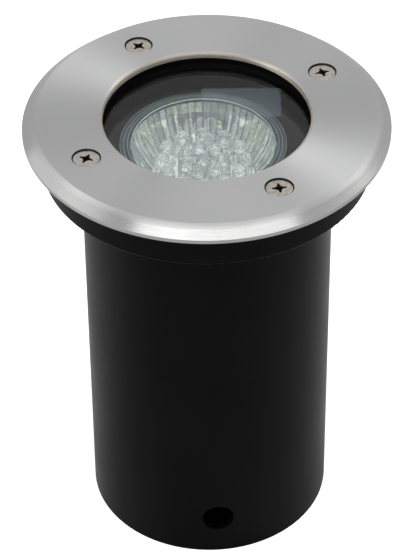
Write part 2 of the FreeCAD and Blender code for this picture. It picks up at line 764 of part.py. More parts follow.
def inner_leads():
    """Leads inside the housing: two from the socket's contacts, one from the earth point, all to the block."""
    down = FreeCAD.Vector(0, 0, -1)
    forward = FreeCAD.Vector(0, -1, 0)
    leads = []
    for side, across in pin_sides:
        x = f"(lamp_offset + {across})"
        drop = cylinder(f"lead_drop_{side}", "lead_radius", f"{socket_bottom} - {lead_line} - lead_bend",
                        x=x, z=f"{lead_line} + lead_bend")
        bend = quarter_bend(f"lead_bend_{side}", x, "lead_bend", f"{lead_line} + lead_bend", forward, down)
        run = along_y(cylinder(f"lead_run_{side}", "lead_radius", f"{block_front} + lead_grip - lead_bend",
                               x=x, y="lead_bend", z=lead_line))
        leads.append(fuse(f"socket_lead_{side}", drop, bend, run))
    nodes["socket_leads"] = group("socket_leads", leads)

    x = f"(lamp_offset + {earth_pole})"
    tag_top = f"({floor_top} + earth_tag_thickness)"
    run = along_y(cylinder("earth_run", "lead_radius", f"{block_front} + lead_grip + {earth_back} - lead_bend",
                           x=x, y=f"lead_bend - {earth_back}", z=lead_line))
    bend = quarter_bend("earth_bend", x, f"lead_bend - {earth_back}", f"{lead_line} - lead_bend", -down, forward)
    drop = cylinder("earth_drop", "lead_radius", f"{lead_line} - lead_bend - {tag_top}",
                    x=x, y=f"-{earth_back}", z=tag_top)
    nodes["earth_lead"] = fuse("earth_lead", run, bend, drop)

    plate = block("earth_plate", "earth_tag_width", "earth_tag_length", "earth_tag_thickness", x=x,
                  y=f"(-{earth_back} - earth_screw_step / 2)", z=floor_top)
    hole = cylinder("earth_tag_hole", "small_screw_radius + fit_gap", "earth_tag_thickness", z=floor_top,
                    **earth_place())
    nodes["earth_tag"] = cut("earth_tag", plate, hole)


neck_seat = cup_bottom
base_floor = f"({base_bottom} + base_wall)"
earth_pole = "(3 * pin_spacing / 2)"
lead_line = f"({floor_top} + lead_height)"
pin_sides = [("left", "(-pin_spacing / 2)"), ("right", "(pin_spacing / 2)")]
poles = [across for side, across in pin_sides] + [earth_pole]
block_corner = f"(lamp_offset + ({earth_pole} - pin_spacing / 2) / 2 + pin_spacing + block_end)"
block_front = f"(sqrt({housing_bore} ^ 2 - {block_corner} ^ 2) - block_back_gap - block_depth)"
tag_corner = f"(lamp_offset + {earth_pole} + earth_tag_width / 2)"
tag_middle = f"(sqrt({housing_bore} ^ 2 - {tag_corner} ^ 2) - earth_end_gap - earth_tag_length / 2)"
earth_back = f"({tag_middle} - earth_screw_step / 2)"
bracket_end = f"(sqrt({housing_bore} ^ 2 - (bracket_width / 2) ^ 2) - bracket_end_gap + lamp_offset)"
bracket_span = f"(2 * ({bracket_end} - bracket_foot))"
socket_screw_sides = [("left", "(-socket_screw_spacing / 2)"), ("right", "(socket_screw_spacing / 2)")]

mounting_sleeve()
front_ring()
ring_screws()
front_glass()
glass_gasket()
lamp_housing()
gland()
lamp_reflector()
lamp_inside()
lamp_base()
lamp_pins()
lamp_driver()
lamp_socket()
socket_contacts()
socket_bracket()
small_screws()
terminal_block()
inner_leads()
doc.recompute()

for item in doc.Objects:
    if "Invalid" in item.State or "Error" in item.State:
        raise RuntimeError(f"{item.Name} failed: {item.State}")
for name, item in nodes.items():
    item.Label = name
    if item.Shape.isNull() or not item.Shape.isValid():
        raise RuntimeError(f"{name} has no valid shape")
    if not item.Shape.Solids:
        raise RuntimeError(f"{name} has no solid")

os.makedirs("parts", exist_ok=True)
for name, item in nodes.items():
    item.Shape.exportStep(f"parts/{name}.step")
    print(f"{name}: {len(item.Shape.Solids)} solids, {item.Shape.Volume:.1f} mm3")
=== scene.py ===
import bpy
import bmesh
import math
import random
from mathutils import Matrix, Vector


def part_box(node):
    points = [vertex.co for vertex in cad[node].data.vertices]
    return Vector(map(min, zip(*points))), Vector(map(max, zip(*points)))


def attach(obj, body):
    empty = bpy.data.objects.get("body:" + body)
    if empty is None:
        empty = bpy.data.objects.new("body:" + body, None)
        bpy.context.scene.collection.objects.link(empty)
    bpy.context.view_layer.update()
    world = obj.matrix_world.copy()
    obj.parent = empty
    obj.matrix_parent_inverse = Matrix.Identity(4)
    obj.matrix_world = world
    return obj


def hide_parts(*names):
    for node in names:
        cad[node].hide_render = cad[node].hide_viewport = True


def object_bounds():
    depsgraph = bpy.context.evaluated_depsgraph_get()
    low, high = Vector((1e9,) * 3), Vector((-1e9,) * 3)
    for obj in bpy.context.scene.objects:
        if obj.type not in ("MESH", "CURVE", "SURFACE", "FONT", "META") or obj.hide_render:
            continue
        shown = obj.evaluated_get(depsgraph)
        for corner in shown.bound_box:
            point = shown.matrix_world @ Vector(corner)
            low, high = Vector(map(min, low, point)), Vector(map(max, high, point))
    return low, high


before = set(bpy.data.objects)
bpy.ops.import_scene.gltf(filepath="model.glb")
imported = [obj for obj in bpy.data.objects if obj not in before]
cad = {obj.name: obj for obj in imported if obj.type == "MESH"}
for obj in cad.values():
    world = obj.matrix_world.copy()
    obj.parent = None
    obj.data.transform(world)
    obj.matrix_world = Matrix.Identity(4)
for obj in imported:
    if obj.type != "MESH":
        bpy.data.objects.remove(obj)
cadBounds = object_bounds()
print("frame loaded")

# Shapes are in millimetres, and mm makes metres of them. The camera, the studio and the
# patterns of the materials are in metres.
mm = 0.001


def deselectAll():
    if bpy.context.object and bpy.context.object.mode != "OBJECT":
        bpy.ops.object.mode_set(mode="OBJECT")
    bpy.ops.object.select_all(action="DESELECT")


# Where the photograph was taken from, measured from the middle of the ring's face.
cameraSetup = {
    "distance": 0.7892,
    "elevation": 37.09,        # degrees above the ring's face
    "tilt": -3.53,             # degrees, below zero it aims under the ring's middle
    "roll": 0.49,              # degrees
    "focalPixels": 2654.5,     # focal length in pixels of the picture
    "pictureHeight": 555,
    "sensorSize": 36,
}


def addCamera():
    data = bpy.data.cameras.new("photoCamera")
    camera = bpy.data.objects.new("photoCamera", data)
    bpy.context.scene.collection.objects.link(camera)
    sensor = cameraSetup["sensorSize"]
    data.sensor_width = sensor
    data.lens = cameraSetup["focalPixels"] * sensor / cameraSetup["pictureHeight"]
    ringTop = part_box("front_ring")[1][2]
    rise = math.radians(cameraSetup["elevation"])
    away = cameraSetup["distance"]
    place = (0, -away * math.cos(rise), ringTop + away * math.sin(rise))
    down = math.radians(90 - cameraSetup["elevation"] + cameraSetup["tilt"])
    roll = Matrix.Rotation(-math.radians(cameraSetup["roll"]), 4, "Z")
    camera.matrix_world = Matrix.Translation(place) @ (Matrix.Rotation(down, 4, "X") @ roll)
    bpy.context.scene.camera = camera
    bpy.context.scene.view_settings.view_transform = "Standard"


# White surround, white floor and a few soft lamps.
studio = {
    "surroundLight": 0.55,     # what the surround gives to matt surfaces
    "floorSize": 6.0,
    "floorRough": 0.9,
    "floorColour": (0.86, 0.86, 0.86, 1),
    "floorInsideShade": (0.01, 0.01, 0.01, 1),   # painted shade: the floor under the sleeve, seen only through its hole, is painted near black
    "floorGlow": 0.58,         # lifts the floor to white for the camera and leaves the shadow
    "floorBlock": 0.0379,      # no glow under the sleeve, inside this radius
    "lamps": [
        # name, azimuth and elevation in degrees, distance, width, height, power in watts
        ("sideLamp", 38.7, 46, 1.2, 0.36, 0.36, 3.9),
        ("topLamp", -84, 62, 1.1, 1.5, 0.24, 5.8),
        ("leftFill", 196, 10, 1.2, 0.7, 0.4, 4.5),
        ("backFill", 168, 28, 1.6, 1.4, 1.4, 4),
    ],
}

# Noise lies mostly between these two levels, and brushed lines between the other two.
cloudLevels = (0.35, 0.65)
lineLevels = (0.3, 0.7)


class Shading:
    # Short names for the node calls that the materials below share.

    def __init__(self, name):
        self.material = bpy.data.materials.new(name)
        self.material.use_nodes = True
        self.tree = self.material.node_tree
        self.shader = self.tree.nodes["Principled BSDF"]

    def set(self, **values):
        for name, value in values.items():
            self.shader.inputs[name.replace("_", " ")].default_value = value

    def node(self, kind, **settings):
        made = self.tree.nodes.new("ShaderNode" + kind)
        for name, value in settings.items():
            setattr(made, name, value)
        return made

    def feed(self, target, source):
        if isinstance(source, (int, float, tuple)):
            target.default_value = source
        else:
            self.tree.links.new(source, target)

    def feedAll(self, sockets, *sources):
        for socket, source in zip(sockets, sources):
            self.feed(socket, source)

    def math(self, operation, *sources):
        made = self.node("Math", operation=operation)
        self.feedAll(made.inputs, *sources)
        return made.outputs[0]

    def length(self, vector):
        made = self.node("VectorMath", operation="LENGTH")
        self.feed(made.inputs[0], vector)
        return made.outputs["Value"]

    def place(self):
        return self.node("TexCoord").outputs["Object"]

    def split(self, vector):
        made = self.node("SeparateXYZ")
        self.feed(made.inputs[0], vector)
        return made.outputs

    def join(self, x, y, z):
        made = self.node("CombineXYZ")
        self.feedAll(made.inputs, x, y, z)
        return made.outputs[0]

    def noise(self, vector, scale, detail=2.0, rough=0.5):
        made = self.node("TexNoise")
        self.feed(made.inputs["Vector"], vector)
        made.inputs["Scale"].default_value = scale
        made.inputs["Detail"].default_value = detail
        made.inputs["Roughness"].default_value = rough
        return made.outputs["Fac"]

    def span(self, source, low, high, toLow=0.0, toHigh=1.0):
        made = self.node("MapRange")
        self.feed(made.inputs["Value"], source)
        names = ("From Min", "From Max", "To Min", "To Max")
        for name, value in zip(names, (low, high, toLow, toHigh)):
            made.inputs[name].default_value = value
        return made.outputs[0]

    def mix(self, factor, first, second):
        # Inputs 6 and 7 and output 2 are the Mix node's colour sockets.
        made = self.node("Mix", data_type="RGBA")
        self.feed(made.inputs[0], factor)
        self.feed(made.inputs[6], first)
        self.feed(made.inputs[7], second)
        return made.outputs[2]

    def blend(self, factor, first, second):
        made = self.node("MixShader")
        self.feedAll(made.inputs, factor, first, second)
        return made.outputs[0]

    def bump(self, height, strength, distance):
        made = self.node("Bump")
        made.inputs["Strength"].default_value = strength
        made.inputs["Distance"].default_value = distance
        self.feed(made.inputs["Height"], height)
        self.feed(self.shader.inputs["Normal"], made.outputs[0])

    def colour(self, source):
        self.feed(self.shader.inputs["Base Color"], source)

    def roughness(self, source):
        self.feed(self.shader.inputs["Roughness"], source)

    def mottled(self, cloud, first, second, rough):
        # Colour and roughness both go from their first to their second value with the noise.
        self.colour(self.mix(self.span(cloud, *cloudLevels), first, second))
        self.roughness(self.span(cloud, *cloudLevels, *rough))


def addSurround():
    world = bpy.data.worlds.new("whiteSurround")
    bpy.context.scene.world = world
    world.use_nodes = True
    tree = world.node_tree
    background = tree.nodes["Background"]
    background.inputs["Color"].default_value = (1, 1, 1, 1)
    path = tree.nodes.new("ShaderNodeLightPath")
    seen = path.outputs["Is Camera Ray"]
    for other in ("Is Glossy Ray", "Is Transmission Ray"):
        either = tree.nodes.new("ShaderNodeMath")
        either.operation = "MAXIMUM"
        tree.links.new(seen, either.inputs[0])
        tree.links.new(path.outputs[other], either.inputs[1])
        seen = either.outputs[0]
    level = tree.nodes.new("ShaderNodeMapRange")
    level.inputs["To Min"].default_value = studio["surroundLight"]
    level.inputs["To Max"].default_value = 1.0
    tree.links.new(seen, level.inputs["Value"])
    tree.links.new(level.outputs[0], background.inputs["Strength"])


def addFloor():
    deselectAll()
    bpy.ops.mesh.primitive_plane_add(size=studio["floorSize"])
    floor = bpy.context.object
    floor.name = "floor"
    look = Shading("paleFloor")
    look.set(Roughness=studio["floorRough"], Emission_Color=(1, 1, 1, 1))
    outside = look.math("GREATER_THAN", look.length(look.place()), studio["floorBlock"])
    # Painted shade: inside the block radius the floor is painted near black.
    look.colour(look.mix(outside, studio["floorInsideShade"], studio["floorColour"]))
    seen = look.node("LightPath").outputs["Is Camera Ray"]
    glow = look.math("MULTIPLY", look.math("MULTIPLY", outside, seen), studio["floorGlow"])
    look.feed(look.shader.inputs["Emission Strength"], glow)
    floor.data.materials.append(look.material)


def addLamps():
    target = Vector((0, 0, cadBounds[1][2]))
    for name, azimuth, elevation, distance, width, height, power in studio["lamps"]:
        data = bpy.data.lights.new(name, "AREA")
        data.shape = "RECTANGLE"
        data.size = width
        data.size_y = height
        data.energy = power
        lamp = bpy.data.objects.new(name, data)
        bpy.context.scene.collection.objects.link(lamp)
        around = math.radians(azimuth)
        rise = math.radians(elevation)
        flat = math.cos(rise) * distance
        away = Vector((flat * math.cos(around), flat * math.sin(around),
                       distance * math.sin(rise)))
        place = target + away
        aimed = (place - target).to_track_quat("Z", "Y").to_matrix().to_4x4()
        lamp.matrix_world = Matrix.Translation(place) @ aimed
        # Shadow rays already carry the lamps' light through the clear pieces.
        lamp.visible_transmission = False


addCamera()
addSurround()
addFloor()
addLamps()
print("camera and studio")


# The four countersunk screws, with a winged recess each.
screwShape = {
    "circleRadius": 40.75,
    "firstAngle": 30.5,
    "turns": (18, 52, -24, 10),      # how far each screw was turned when it was tightened
    "sides": 40,
    "smoothAngle": 32,
    "topHeight": 146.62,
    "headRadius": 3.98,
    "crown": 0.12,                   # how much the head rises to its middle
    "crownSteps": [(0.6, 0.7), (0.25, 1.0)],                     # shares of radius and crown
    "edgeLand": 0.3,
    "edgeSteps": [(-0.04, -0.3), (0.0, -0.16), (-0.08, -0.04)],  # from the head's radius and top
    "shankRadius": 2.0,
    "headDepth": 1.9,
    "length": 12.0,
    "tipSteps": [(-0.5, 0.0), (0.0, 0.5)],                       # from the shank's radius and end
    "wingLength": 2.3,
    "wingNarrowing": 0.66 / 1.04,    # a wing's width at its tip against its root
    "heartRadius": 1.25,
    "heartSides": 8,
    "recessDepth": 1.6,
    "recessTaper": 0.6,              # size of the recess's floor against its mouth
    "recessLift": 0.42,              # share of the depth between the crown and the tool's middle
    "recessLip": 0.03,               # steel, not shade, down to this depth
    "recessMargin": 0.1,             # shade reaches this much past the wings' ends
    "colour": (0.42, 0.39, 0.35, 1),
    "rough": (0.24, 0.36),
    "grain": 900.0,
    # Painted shade: the faces inside the recess get a near-black steel.
    "recessShadeColour": (0.035, 0.030, 0.026, 1),
    "recessRough": (0.4, 0.5),
}


ringLook = {
    "steel": (0.388, 0.388, 0.390, 1),
    "steelDark": (0.366, 0.366, 0.368, 1),
    "bevelSteel": (0.325, 0.325, 0.323, 1),
    "lipReflectionTint": (0.40, 0.375, 0.335, 1),   # painted reflection: the lip is tinted warm for the warm light it reflects
    "lipRadius": 0.0317,
    "lipBlend": 0.0003,
    "anisotropy": 0.85,
    "rough": (0.47, 0.53),
    "cloudScale": 45.0,
    "cloudRough": (-0.02, 0.02),
    "bevelLow": 0.1456,        # the bevel gets smoother from its top edge to its lower edge
    "bevelHigh": 0.1469,
    "bevelInside": 0.045,
    "bevelPolish": 0.23,
    "sinkRadius": 0.00434,     # painted shade: the gap round each screw is painted dark inside this radius
    "sinkShadeColour": (0.012, 0.011, 0.010, 1),
    "lineDensity": 5200,       # brushed lines per metre of radius
    "arcDensity": 3.0,         # changes along a line, per radian of the ring
    "lineDetail": 3.0,
    "lineRough": 0.6,
    "bumpStrength": 0.03,
    "bumpDepth": 0.00003,
}


def brushedRing():
    look = Shading("brushedRing")
    place = look.place()
    x, y, z = look.split(place)
    outward = look.join(x, y, 0.0)
    radius = look.length(outward)
    angle = look.math("ARCTAN2", y, x)
    pattern = look.join(look.math("MULTIPLY", radius, ringLook["lineDensity"]),
                        look.math("MULTIPLY", angle, ringLook["arcDensity"]),
                        look.math("MULTIPLY", z, ringLook["lineDensity"] / 2))
    lines = look.noise(pattern, 1.0, ringLook["lineDetail"], ringLook["lineRough"])
    cloud = look.noise(place, ringLook["cloudScale"])
    metal = look.mix(look.span(lines, *lineLevels), ringLook["steelDark"], ringLook["steel"])
    # Painted reflection: inside the lip's radius the steel takes the warm tint.
    lipEnd = ringLook["lipRadius"] + ringLook["lipBlend"]
    lip = look.span(radius, ringLook["lipRadius"], lipEnd, 1.0, 0.0)
    steel = look.mix(lip, metal, ringLook["lipReflectionTint"])

    # The four screws fold into one, and the distance from its middle tells where its gap is.
    halfStep = math.pi / len(screwShape["turns"])
    turned = look.math("SUBTRACT", angle, math.radians(screwShape["firstAngle"]))
    folded = look.math("WRAP", turned, halfStep, -halfStep)
    ahead = look.math("MULTIPLY", radius, look.math("COSINE", folded))
    along = look.math("SUBTRACT", ahead, screwShape["circleRadius"] * mm)
    aside = look.math("MULTIPLY", radius, look.math("SINE", folded))
    fromScrew = look.length(look.join(along, aside, 0.0))
    # Painted shade: the ring is painted near black in the gap round each screw.
    sinkShade = look.math("LESS_THAN", fromScrew, ringLook["sinkRadius"])

    outside = look.math("GREATER_THAN", radius, ringLook["bevelInside"])
    lowness = look.span(z, ringLook["bevelLow"], ringLook["bevelHigh"], 1.0, 0.0)
    bevel = look.math("MULTIPLY", outside, lowness)
    steel = look.mix(bevel, steel, ringLook["bevelSteel"])
    look.colour(look.mix(sinkShade, steel, ringLook["sinkShadeColour"]))
    brushed = look.math("ADD", look.span(lines, *lineLevels, *ringLook["rough"]),
                        look.span(cloud, *cloudLevels, *ringLook["cloudRough"]))
    polish = look.math("MULTIPLY", bevel, ringLook["bevelPolish"])
    look.roughness(look.math("SUBTRACT", brushed, polish))
    look.set(Metallic=1.0, Anisotropic=ringLook["anisotropy"])
    look.feed(look.shader.inputs["Tangent"], outward)
    look.bump(lines, ringLook["bumpStrength"], ringLook["bumpDepth"])
    return look.material


# What the finishes of the other pieces have in common.
finishLook = {
    "blackCloud": 38.0,
    "blackDark": (1.0, 1.0, 1.05),     # times the tone, a little bluer than grey
    "blackPale": (1.6, 1.6, 1.7),
    "blackTint": (0.93, 0.95, 1.0, 1),
    "mouldDepth": 0.00004,
    "metalDull": 0.75,                 # dull spots against the colour
    "metalBump": 0.1,
    "metalDepth": 0.00003,
    "mouldedDull": 0.86,
    "mouldedBump": 0.15,
    "mottleSize": 6,                   # mottles are this many times larger than the grain
    "rippleScale": 1100.0,
    "rippleDepth": 0.0005,
    # Painted reflection on the front glass: the colour, noise scale and range of its matt veil.
    "veilColour": (0.8, 0.8, 0.85, 1),
    "veilScale": 60.0,
    "veilRange": (0.7, 1.3),
    "sheetDull": 0.85,
    "sheetScale": 200.0,
    "sheetRange": 1.5,
}


def scaled(colour, share):
    return tuple(channel * share for channel in colour[:3]) + (1,)


def blackMoulding(name, tone=0.0012, level=0.042, rough=(0.30, 0.36), grain=900.0, bump=0.12):
    look = Shading(name)
    place = look.place()
    fine = look.noise(place, grain, 3.0)
    wide = look.noise(place, finishLook["blackCloud"], 3.0)
    dark = tuple(tone * part for part in finishLook["blackDark"]) + (1,)
    pale = tuple(tone * part for part in finishLook["blackPale"]) + (1,)
    look.mottled(wide, dark, pale, rough)
    look.set(Specular_IOR_Level=level, Specular_Tint=finishLook["blackTint"])
    look.bump(fine, bump, finishLook["mouldDepth"])
    return look.material


def plainMetal(name, colour, rough=(0.25, 0.4), grain=700.0):
    look = Shading(name)
    spots = look.noise(look.place(), grain, 3.0)
    look.mottled(spots, scaled(colour, finishLook["metalDull"]), colour, rough)
    look.set(Metallic=1.0)
    look.bump(spots, finishLook["metalBump"], finishLook["metalDepth"])
    return look.material


def mouldedPiece(name, colour, rough=(0.4, 0.55), grain=500.0):
    look = Shading(name)
    place = look.place()
    mottle = look.noise(place, grain / finishLook["mottleSize"], 3.0)
    fine = look.noise(place, grain)
    look.mottled(mottle, scaled(colour, finishLook["mouldedDull"]), colour, rough)
    look.bump(fine, finishLook["mouldedBump"], finishLook["mouldDepth"])
    return look.material


def clearPiece(name, tint, index=1.5, passing=1.0, ripple=0.0, reflectionVeil=0.0):
    # Clear glass or resin that lets the lamps' light through to what lies under it.
    look = Shading(name)
    look.set(Transmission_Weight=passing, IOR=index, Roughness=0.0)
    look.colour(tint)
    if ripple:
        waves = look.noise(look.place(), finishLook["rippleScale"], 0.0)
        look.bump(waves, ripple, finishLook["rippleDepth"])
    surface = look.shader.outputs[0]
    # Painted reflection: a faint matt layer, uneven with noise, stands in for the pale veil the
    # glass reflects.
    if reflectionVeil:
        veilLayer = look.node("BsdfDiffuse")
        veilLayer.inputs[0].default_value = finishLook["veilColour"]
        cloud = look.noise(look.place(), finishLook["veilScale"], 3.0)
        thin, thick = (reflectionVeil * share for share in finishLook["veilRange"])
        share = look.span(cloud, *cloudLevels, thin, thick)
        surface = look.blend(share, surface, veilLayer.outputs[0])
    clear = look.node("BsdfTransparent")
    clear.inputs[0].default_value = tint
    shadowRay = look.node("LightPath").outputs["Is Shadow Ray"]
    surface = look.blend(shadowRay, surface, clear.outputs[0])
    look.feed(look.tree.nodes["Material Output"].inputs["Surface"], surface)
    return look.material


def thinSheet(name, colour, cover, metallic=0.0, rough=0.1):
    # What is behind the sheet shows through, and only a little of its own surface is seen.
    look = Shading(name)
    cloud = look.noise(look.place(), finishLook["sheetScale"], 3.0)
    look.mottled(cloud, scaled(colour, finishLook["sheetDull"]), colour,
                 (rough, rough * finishLook["sheetRange"]))
    look.set(Alpha=cover, Metallic=metallic)
    return look.material


brass = (0.62, 0.45, 0.17, 1)
screwZinc = (0.50, 0.50, 0.50, 1)
glandPlastic = {"tone": 0.008, "level": 0.3, "rough": (0.4, 0.5), "grain": 1200.0}

# The finish of each carried piece, and where it differs from the finish's usual values.
nodeLooks = {
    "front_ring": (brushedRing, {}),
    "mounting_sleeve": (blackMoulding, {"name": "sleevePlastic"}),
    "lamp_housing": (blackMoulding, {
        "name": "housingPaint", "level": 0.03, "rough": (0.5, 0.6), "grain": 1500.0, "bump": 0.01}),
    "glass_gasket": (blackMoulding, {
        "name": "gasketRubber", "tone": 0.0015, "level": 0.03, "rough": (0.6, 0.7),
        "grain": 700.0, "bump": 0.02}),
    "front_glass": (clearPiece, {
        "name": "frontGlassClear", "tint": (0.975, 1.0, 0.995, 1), "index": 1.27, "reflectionVeil": 0.002}),
    "lamp_cover_glass": (thinSheet, {
        "name": "coverGlass", "colour": (0.9, 0.95, 0.95, 1), "cover": 0.05, "metallic": 1.0,
        "rough": 0.04}),
    "led_board": (mouldedPiece, {"name": "boardWhite", "colour": (0.86, 0.90, 0.89, 1)}),
    "lamp_base": (mouldedPiece, {
        "name": "baseWhite", "colour": (0.72, 0.72, 0.69, 1), "rough": (0.25, 0.4)}),
    "lamp_pins": (plainMetal, {
        "name": "pinNickel", "colour": (0.66, 0.63, 0.58, 1), "rough": (0.15, 0.3)}),
    "driver_board": (mouldedPiece, {"name": "boardGreen", "colour": (0.05, 0.20, 0.08, 1)}),
    "driver_capacitor": (mouldedPiece, {
        "name": "capacitorCase", "colour": (0.45, 0.10, 0.04, 1), "rough": (0.2, 0.3)}),
    "lamp_socket": (mouldedPiece, {
        "name": "socketCeramic", "colour": (0.72, 0.67, 0.58, 1), "rough": (0.55, 0.75),
        "grain": 900.0}),
    "socket_contacts": (plainMetal, {"name": "contactBrass", "colour": brass}),
    "socket_bracket": (plainMetal, {"name": "zincSheet", "colour": (0.52, 0.52, 0.53, 1)}),
    "bracket_screws": (plainMetal, {"name": "bracket_screws_steel", "colour": screwZinc}),
    "socket_screws": (plainMetal, {"name": "socket_screws_steel", "colour": screwZinc}),
    "terminal_screws": (plainMetal, {"name": "terminal_screws_steel", "colour": screwZinc}),
    "earth_screw": (plainMetal, {"name": "earth_screw_brass", "colour": brass}),
    "earth_tag": (plainMetal, {"name": "earth_tag_brass", "colour": brass}),
    "terminal_block": (mouldedPiece, {"name": "blockNylon", "colour": (0.70, 0.67, 0.60, 1)}),
    "socket_leads": (mouldedPiece, {
        "name": "leadSilicone", "colour": (0.66, 0.64, 0.60, 1), "rough": (0.5, 0.65)}),
    "earth_lead": (mouldedPiece, {"name": "leadGreen", "colour": (0.10, 0.34, 0.08, 1)}),
    "gland_body": (blackMoulding, {"name": "gland_body_plastic", **glandPlastic}),
    "gland_locknut": (blackMoulding, {"name": "gland_locknut_plastic", **glandPlastic}),
    "gland_cap": (blackMoulding, {"name": "gland_cap_plastic", **glandPlastic}),
    "gland_seal": (blackMoulding, {
        "name": "sealRubber", "tone": 0.008, "level": 0.25, "rough": (0.6, 0.7)}),
}

for nodeName, (finish, settings) in nodeLooks.items():
    nodeMesh = cad[nodeName].data
    nodeMesh.materials.clear()
    nodeMesh.materials.append(finish(**settings))
print("materials of the carried pieces")


def chosen(piece, kind, wanted):
    # Selects, in edit mode, the vertices, edges or faces that the test accepts.
    bpy.ops.mesh.select_mode(type=kind)
    bpy.ops.mesh.select_all(action="DESELECT")
    shape = bmesh.from_edit_mesh(piece.data)
    for part in {"VERT": shape.verts, "EDGE": shape.edges, "FACE": shape.faces}[kind]:
        part.select_set(wanted(part))
    if kind == "VERT":
        shape.select_flush(True)
    bmesh.update_edit_mesh(piece.data)


def closeEdit():
    # Turns all faces outwards and leaves edit mode.
    bpy.ops.mesh.select_all(action="SELECT")
    bpy.ops.mesh.normals_make_consistent(inside=False)
    bpy.ops.object.mode_set(mode="OBJECT")


def makeActive(piece):
    deselectAll()
    piece.select_set(True)
    bpy.context.view_layer.objects.active = piece


def stepped(steps, radius, height):
    return [(radius + outward, height + upward) for outward, upward in steps]


def turnedPiece(name, sides, outline, across=0.0):
    # Starts as a disc on the first (radius, height), and is drawn on through the others.
    deselectAll()
    radius, height = outline[0]
    bpy.ops.mesh.primitive_circle_add(vertices=sides, radius=radius * mm, fill_type="NGON")
    piece = bpy.context.object
    piece.name = name
    bpy.ops.object.mode_set(mode="EDIT")
    bpy.ops.mesh.select_all(action="SELECT")
    middle = Vector((across * mm, 0, 0))
    bpy.ops.transform.translate(value=middle + Vector((0, 0, height * mm)))
    for newRadius, newHeight in outline[1:]:
        rise = (0, 0, (newHeight - height) * mm)
        bpy.ops.mesh.extrude_region_move(TRANSFORM_OT_translate={"value": rise})
        share = newRadius / radius
        bpy.ops.transform.resize(value=(share, share, 1), center_override=middle)
        radius, height = newRadius, newHeight
    closeEdit()
    return piece


def openMiddle(piece):
    # Takes out the two end discs of a turned piece and bridges their edges.
    makeActive(piece)
    bpy.ops.object.mode_set(mode="EDIT")
    chosen(piece, "FACE", lambda face: len(face.verts) > 4)
    bpy.ops.mesh.delete(type="ONLY_FACE")
    chosen(piece, "EDGE", lambda edge: edge.is_boundary)
    bpy.ops.mesh.bridge_edge_loops()
    closeEdit()


def smoothByAngle(piece, degrees):
    makeActive(piece)
    bpy.ops.object.shade_smooth_by_angle(angle=math.radians(degrees))


def applyModifier(piece, kind, **values):
    makeActive(piece)
    modifier = piece.modifiers.new(kind.title(), kind)
    for name, value in values.items():
        setattr(modifier, name, value)
    bpy.ops.object.modifier_apply(modifier=modifier.name)


def joined(name, parts):
    deselectAll()
    for part in parts:
        part.select_set(True)
    bpy.context.view_layer.objects.active = parts[0]
    bpy.ops.object.join()
    parts[0].name = name
    return parts[0]


def copiedTo(piece, name, place, turn=0.0):
    twin = piece.copy()
    twin.data = piece.data.copy()
    twin.name = name
    bpy.context.scene.collection.objects.link(twin)
    turned = Matrix.Rotation(math.radians(turn), 4, "Z")
    twin.data.transform(Matrix.Translation(Vector(place) * mm) @ turned)
    return twin


def finishPiece(piece, body, slot, material, *nodes):
    piece.data.materials.clear()
    piece.data.materials.append(material)
    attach(piece, body)
    if nodes:
        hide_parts(*nodes)


def polarSpot(radius, degrees):
    around = math.radians(degrees)
    return radius * math.cos(around), radius * math.sin(around)


def recessTool():
    # Four tapering wings round a heart, narrower with depth.
    deep = screwShape["recessDepth"]
    sides = screwShape["heartSides"]
    bpy.ops.mesh.primitive_cylinder_add(vertices=sides, radius=screwShape["heartRadius"] * mm,
                                        depth=deep * mm)
    tool = bpy.context.object
    bpy.ops.object.mode_set(mode="EDIT")
    bpy.ops.transform.rotate(value=math.radians(180 / sides), orient_axis="Z",
                             center_override=(0, 0, 0))
    reach = (screwShape["wingLength"] - screwShape["heartRadius"]) * mm
    narrow = screwShape["wingNarrowing"]
    squareOn, offMiddle = 0.99, 0.1 * mm     # how well a face has to stand across its wing
    for quarter in range(4):
        facing = Vector((*polarSpot(1, 90 * quarter), 0))

        def isWingRoot(face):
            spot = face.calc_center_median()
            ahead = spot.dot(facing)
            aside = (spot - facing * ahead).xy.length
            return face.normal.dot(facing) > squareOn and ahead > 0 and aside < offMiddle

        chosen(tool, "FACE", isWingRoot)
        bpy.ops.mesh.extrude_region_move(TRANSFORM_OT_translate={"value": facing * reach})
        across = (1, narrow, 1) if quarter % 2 == 0 else (narrow, 1, 1)
        bpy.ops.transform.resize(value=across, center_override=facing * reach)
    chosen(tool, "VERT", lambda vertex: vertex.co.z < 0)
    taper = screwShape["recessTaper"]
    bpy.ops.transform.resize(value=(taper, taper, 1), center_override=(0, 0, 0))
    bpy.ops.mesh.select_all(action="SELECT")
    crownTop = screwShape["topHeight"] + screwShape["crown"]
    lift = (crownTop - deep * screwShape["recessLift"]) * mm
    bpy.ops.transform.translate(value=(0, 0, lift))
    closeEdit()
    return tool


def shadeRecess(screw, across, back, material):
    screw.data.materials.append(material)
    reach = screwShape["wingLength"] + screwShape["recessMargin"]
    for face in screw.data.polygons:
        aside = (face.center.xy / mm - Vector((across, back))).length
        below = screwShape["topHeight"] - face.center.z / mm
        if aside < reach and screwShape["recessLip"] < below < screwShape["recessDepth"]:
            face.material_index = 1


